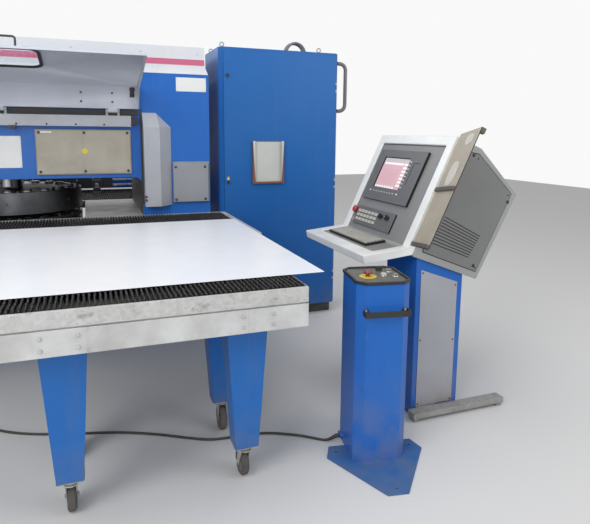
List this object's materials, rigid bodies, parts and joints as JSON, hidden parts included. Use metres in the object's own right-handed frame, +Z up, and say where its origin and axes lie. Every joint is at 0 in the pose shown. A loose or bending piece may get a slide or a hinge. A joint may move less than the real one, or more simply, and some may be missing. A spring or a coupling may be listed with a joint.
{
  "type": "cnc turret punch press",
  "caption": "Turret punch press with an open hood, brush tables, sheet blank, electrical cabinet, control console and operator pedestal.",
  "frame": {"origin": "on the floor under the middle of the press frame", "axes": "X along the press frame to the cabinet side, Y from the loading side to the back, Z up"},
  "size_m": [4.1937, 4.2802, 2.217],
  "materials": {
    "blue_paint": "satin",
    "white_paint": "satin",
    "grey_paint": "satin",
    "beige_paint": "satin",
    "console_grey": "matte",
    "dark_panel": "matte",
    "steel": "worn",
    "dark_steel": "worn",
    "galvanised": "worn",
    "sheet_white": "satin",
    "bristle": "matte",
    "black_rubber": "matte",
    "black_plastic": "matte",
    "brown_plastic": "matte",
    "tan_plastic": "matte",
    "red_plastic": "glossy",
    "yellow_plastic": "matte",
    "white_plastic": "matte",
    "grey_plastic": "matte",
    "clear_pane": "glossy",
    "screen": "glossy"
  },
  "bodies": {
    "machine": {"main_frame": "blue_paint", "top_cover": "white_paint", "hinge_beam": "grey_paint", "junction_plate": "beige_paint", "column_covers": "grey_paint", "access_plates": "grey_paint", "cover_screws": "dark_steel", "sign_plates": "white_paint", "machine_table": "galvanised", "brush_strips": "bristle", "sheet_blank": "sheet_white", "extension_rail": "galvanised", "extension_skirt": "grey_paint", "extension_legs": "blue_paint", "caster_plates": "galvanised", "cabinet_body": "blue_paint", "lifting_eyes": "galvanised", "cabinet_conduits": "tan_plastic", "console_column": "blue_paint", "column_panel": "grey_paint", "floor_channel": "galvanised", "console_body": "console_grey", "console_side_panel": "console_grey", "console_bezel": "white_paint", "panel_modules": "dark_panel", "screen_glass": "screen", "keyboard": "console_grey", "copy_wing": "beige_paint", "pedestal_column": "blue_paint", "pedestal_panel": "galvanised", "pedestal_trim": "black_rubber", "stop_ring": "yellow_plastic", "pedestal_handle": "black_plastic", "floor_cable": "black_rubber"},
    "hood_lid": {"hood": "grey_paint", "window_gasket": "black_rubber", "hood_window": "clear_pane", "hood_handle": "black_plastic"},
    "upper_disc": {"upper_turret": "steel"},
    "lower_disc": {"lower_turret": "steel"},
    "ram_rod": {"ram": "steel"},
    "feed_beam": {"cross_slide": "blue_paint"},
    "clamp_bar": {"carriage": "dark_steel"},
    "left_caster": {"left_fork": "galvanised"},
    "right_caster": {"right_fork": "galvanised"},
    "left_roller": {"left_wheel": "black_rubber"},
    "right_roller": {"right_wheel": "black_rubber"},
    "rear_rollers": {"rear_wheels": "black_rubber"},
    "door": {"cabinet_door": "blue_paint", "document_holder": "brown_plastic"},
    "top_lock": {"upper_lock": "black_plastic"},
    "bottom_lock": {"lower_lock": "black_plastic"},
    "screen_stop": {"console_stop": "red_plastic"},
    "knob_left": {"left_knob": "black_plastic"},
    "knob_right": {"right_knob": "black_plastic"},
    "operator_stop": {"pedestal_stop": "red_plastic"},
    "mode_selector": {"selector": "black_plastic"},
    "start": {"start_button": "white_plastic"},
    "near_push": {"near_button": "grey_plastic"},
    "far_push": {"far_button": "grey_plastic"}
  },
  "joints": [
    {"name": "hood_hinge", "type": "hinge", "parent": "machine", "child": "hood_lid", "pos_m": [0, -0.516, 1.642], "axis": [1, 0, 0], "range_deg": [0, 103]},
    {"name": "upper_spin", "type": "hinge", "parent": "machine", "child": "upper_disc", "pos_m": [0, 0, 1], "axis": [0, 0, 1], "continuous": true},
    {"name": "lower_spin", "type": "hinge", "parent": "machine", "child": "lower_disc", "pos_m": [0, 0, 0.83], "axis": [0, 0, 1], "continuous": true},
    {"name": "ram_stroke", "type": "slide", "parent": "machine", "child": "ram_rod", "axis": [0, 0, 1], "range_m": [-0.0235, 0]},
    {"name": "cross_feed", "type": "slide", "parent": "machine", "child": "feed_beam", "axis": [0, 1, 0], "range_m": [-0.55, 0]},
    {"name": "carriage_feed", "type": "slide", "parent": "feed_beam", "child": "clamp_bar", "axis": [1, 0, 0], "range_m": [-0.6, 0.6]},
    {"name": "left_swivel", "type": "hinge", "parent": "machine", "child": "left_caster", "pos_m": [0.4005, -2.43, 0.13], "axis": [0, 0, 1], "continuous": true},
    {"name": "right_swivel", "type": "hinge", "parent": "machine", "child": "right_caster", "pos_m": [1.1035, -2.43, 0.13], "axis": [0, 0, 1], "continuous": true},
    {"name": "left_roll", "type": "hinge", "parent": "left_caster", "child": "left_roller", "pos_m": [0.4005, -2.396, 0.062], "axis": [1, 0, 0], "continuous": true},
    {"name": "right_roll", "type": "hinge", "parent": "right_caster", "child": "right_roller", "pos_m": [1.1035, -2.396, 0.062], "axis": [1, 0, 0], "continuous": true},
    {"name": "rear_roll", "type": "hinge", "parent": "machine", "child": "rear_rollers", "pos_m": [0.752, -1.993, 0.062], "axis": [1, 0, 0], "continuous": true},
    {"name": "door_hinge", "type": "hinge", "parent": "machine", "child": "door", "pos_m": [2.41, -0.4703, 1.1], "axis": [0, 0, 1], "range_deg": [0, 110]},
    {"name": "upper_lock_turn", "type": "hinge", "parent": "door", "child": "top_lock", "pos_m": [1.523, -0.4703, 1.9212], "axis": [0, -1, 0], "range_deg": [0, 90]},
    {"name": "lower_lock_turn", "type": "hinge", "parent": "door", "child": "bottom_lock", "pos_m": [1.523, -0.4703, 1.12384], "axis": [0, -1, 0], "range_deg": [0, 90]},
    {"name": "console_stop_press", "type": "slide", "parent": "machine", "child": "screen_stop", "axis": [-0.9056, 0, 0.4242], "range_m": [-0.005, 0]},
    {"name": "left_knob_turn", "type": "hinge", "parent": "machine", "child": "knob_left", "pos_m": [2.08123, -1.86, 1.02914], "axis": [-0.9056, 0, 0.4242], "range_deg": [-60, 60]},
    {"name": "right_knob_turn", "type": "hinge", "parent": "machine", "child": "knob_right", "pos_m": [2.08123, -1.93, 1.02914], "axis": [-0.9056, 0, 0.4242], "range_deg": [-60, 60]},
    {"name": "operator_stop_press", "type": "slide", "parent": "machine", "child": "operator_stop", "axis": [0, 0, 1], "range_m": [-0.006, 0]},
    {"name": "selector_turn", "type": "hinge", "parent": "machine", "child": "mode_selector", "pos_m": [1.80326, -2.32095, 0.852], "axis": [0, 0, 1], "range_deg": [-45, 45]},
    {"name": "start_press", "type": "slide", "parent": "machine", "child": "start", "axis": [0, 0, 1], "range_m": [-0.004, 0], "stiffness_N_per_m": 600, "springref_m": 0.002},
    {"name": "near_press", "type": "slide", "parent": "machine", "child": "near_push", "axis": [0, 0, 1], "range_m": [-0.004, 0], "stiffness_N_per_m": 600, "springref_m": 0.002},
    {"name": "far_press", "type": "slide", "parent": "machine", "child": "far_push", "axis": [0, 0, 1], "range_m": [-0.004, 0], "stiffness_N_per_m": 600, "springref_m": 0.002}
  ],
  "couplings": [
    {"joint": "lower_spin", "follows": "upper_spin", "ratio": 1}
  ]
}
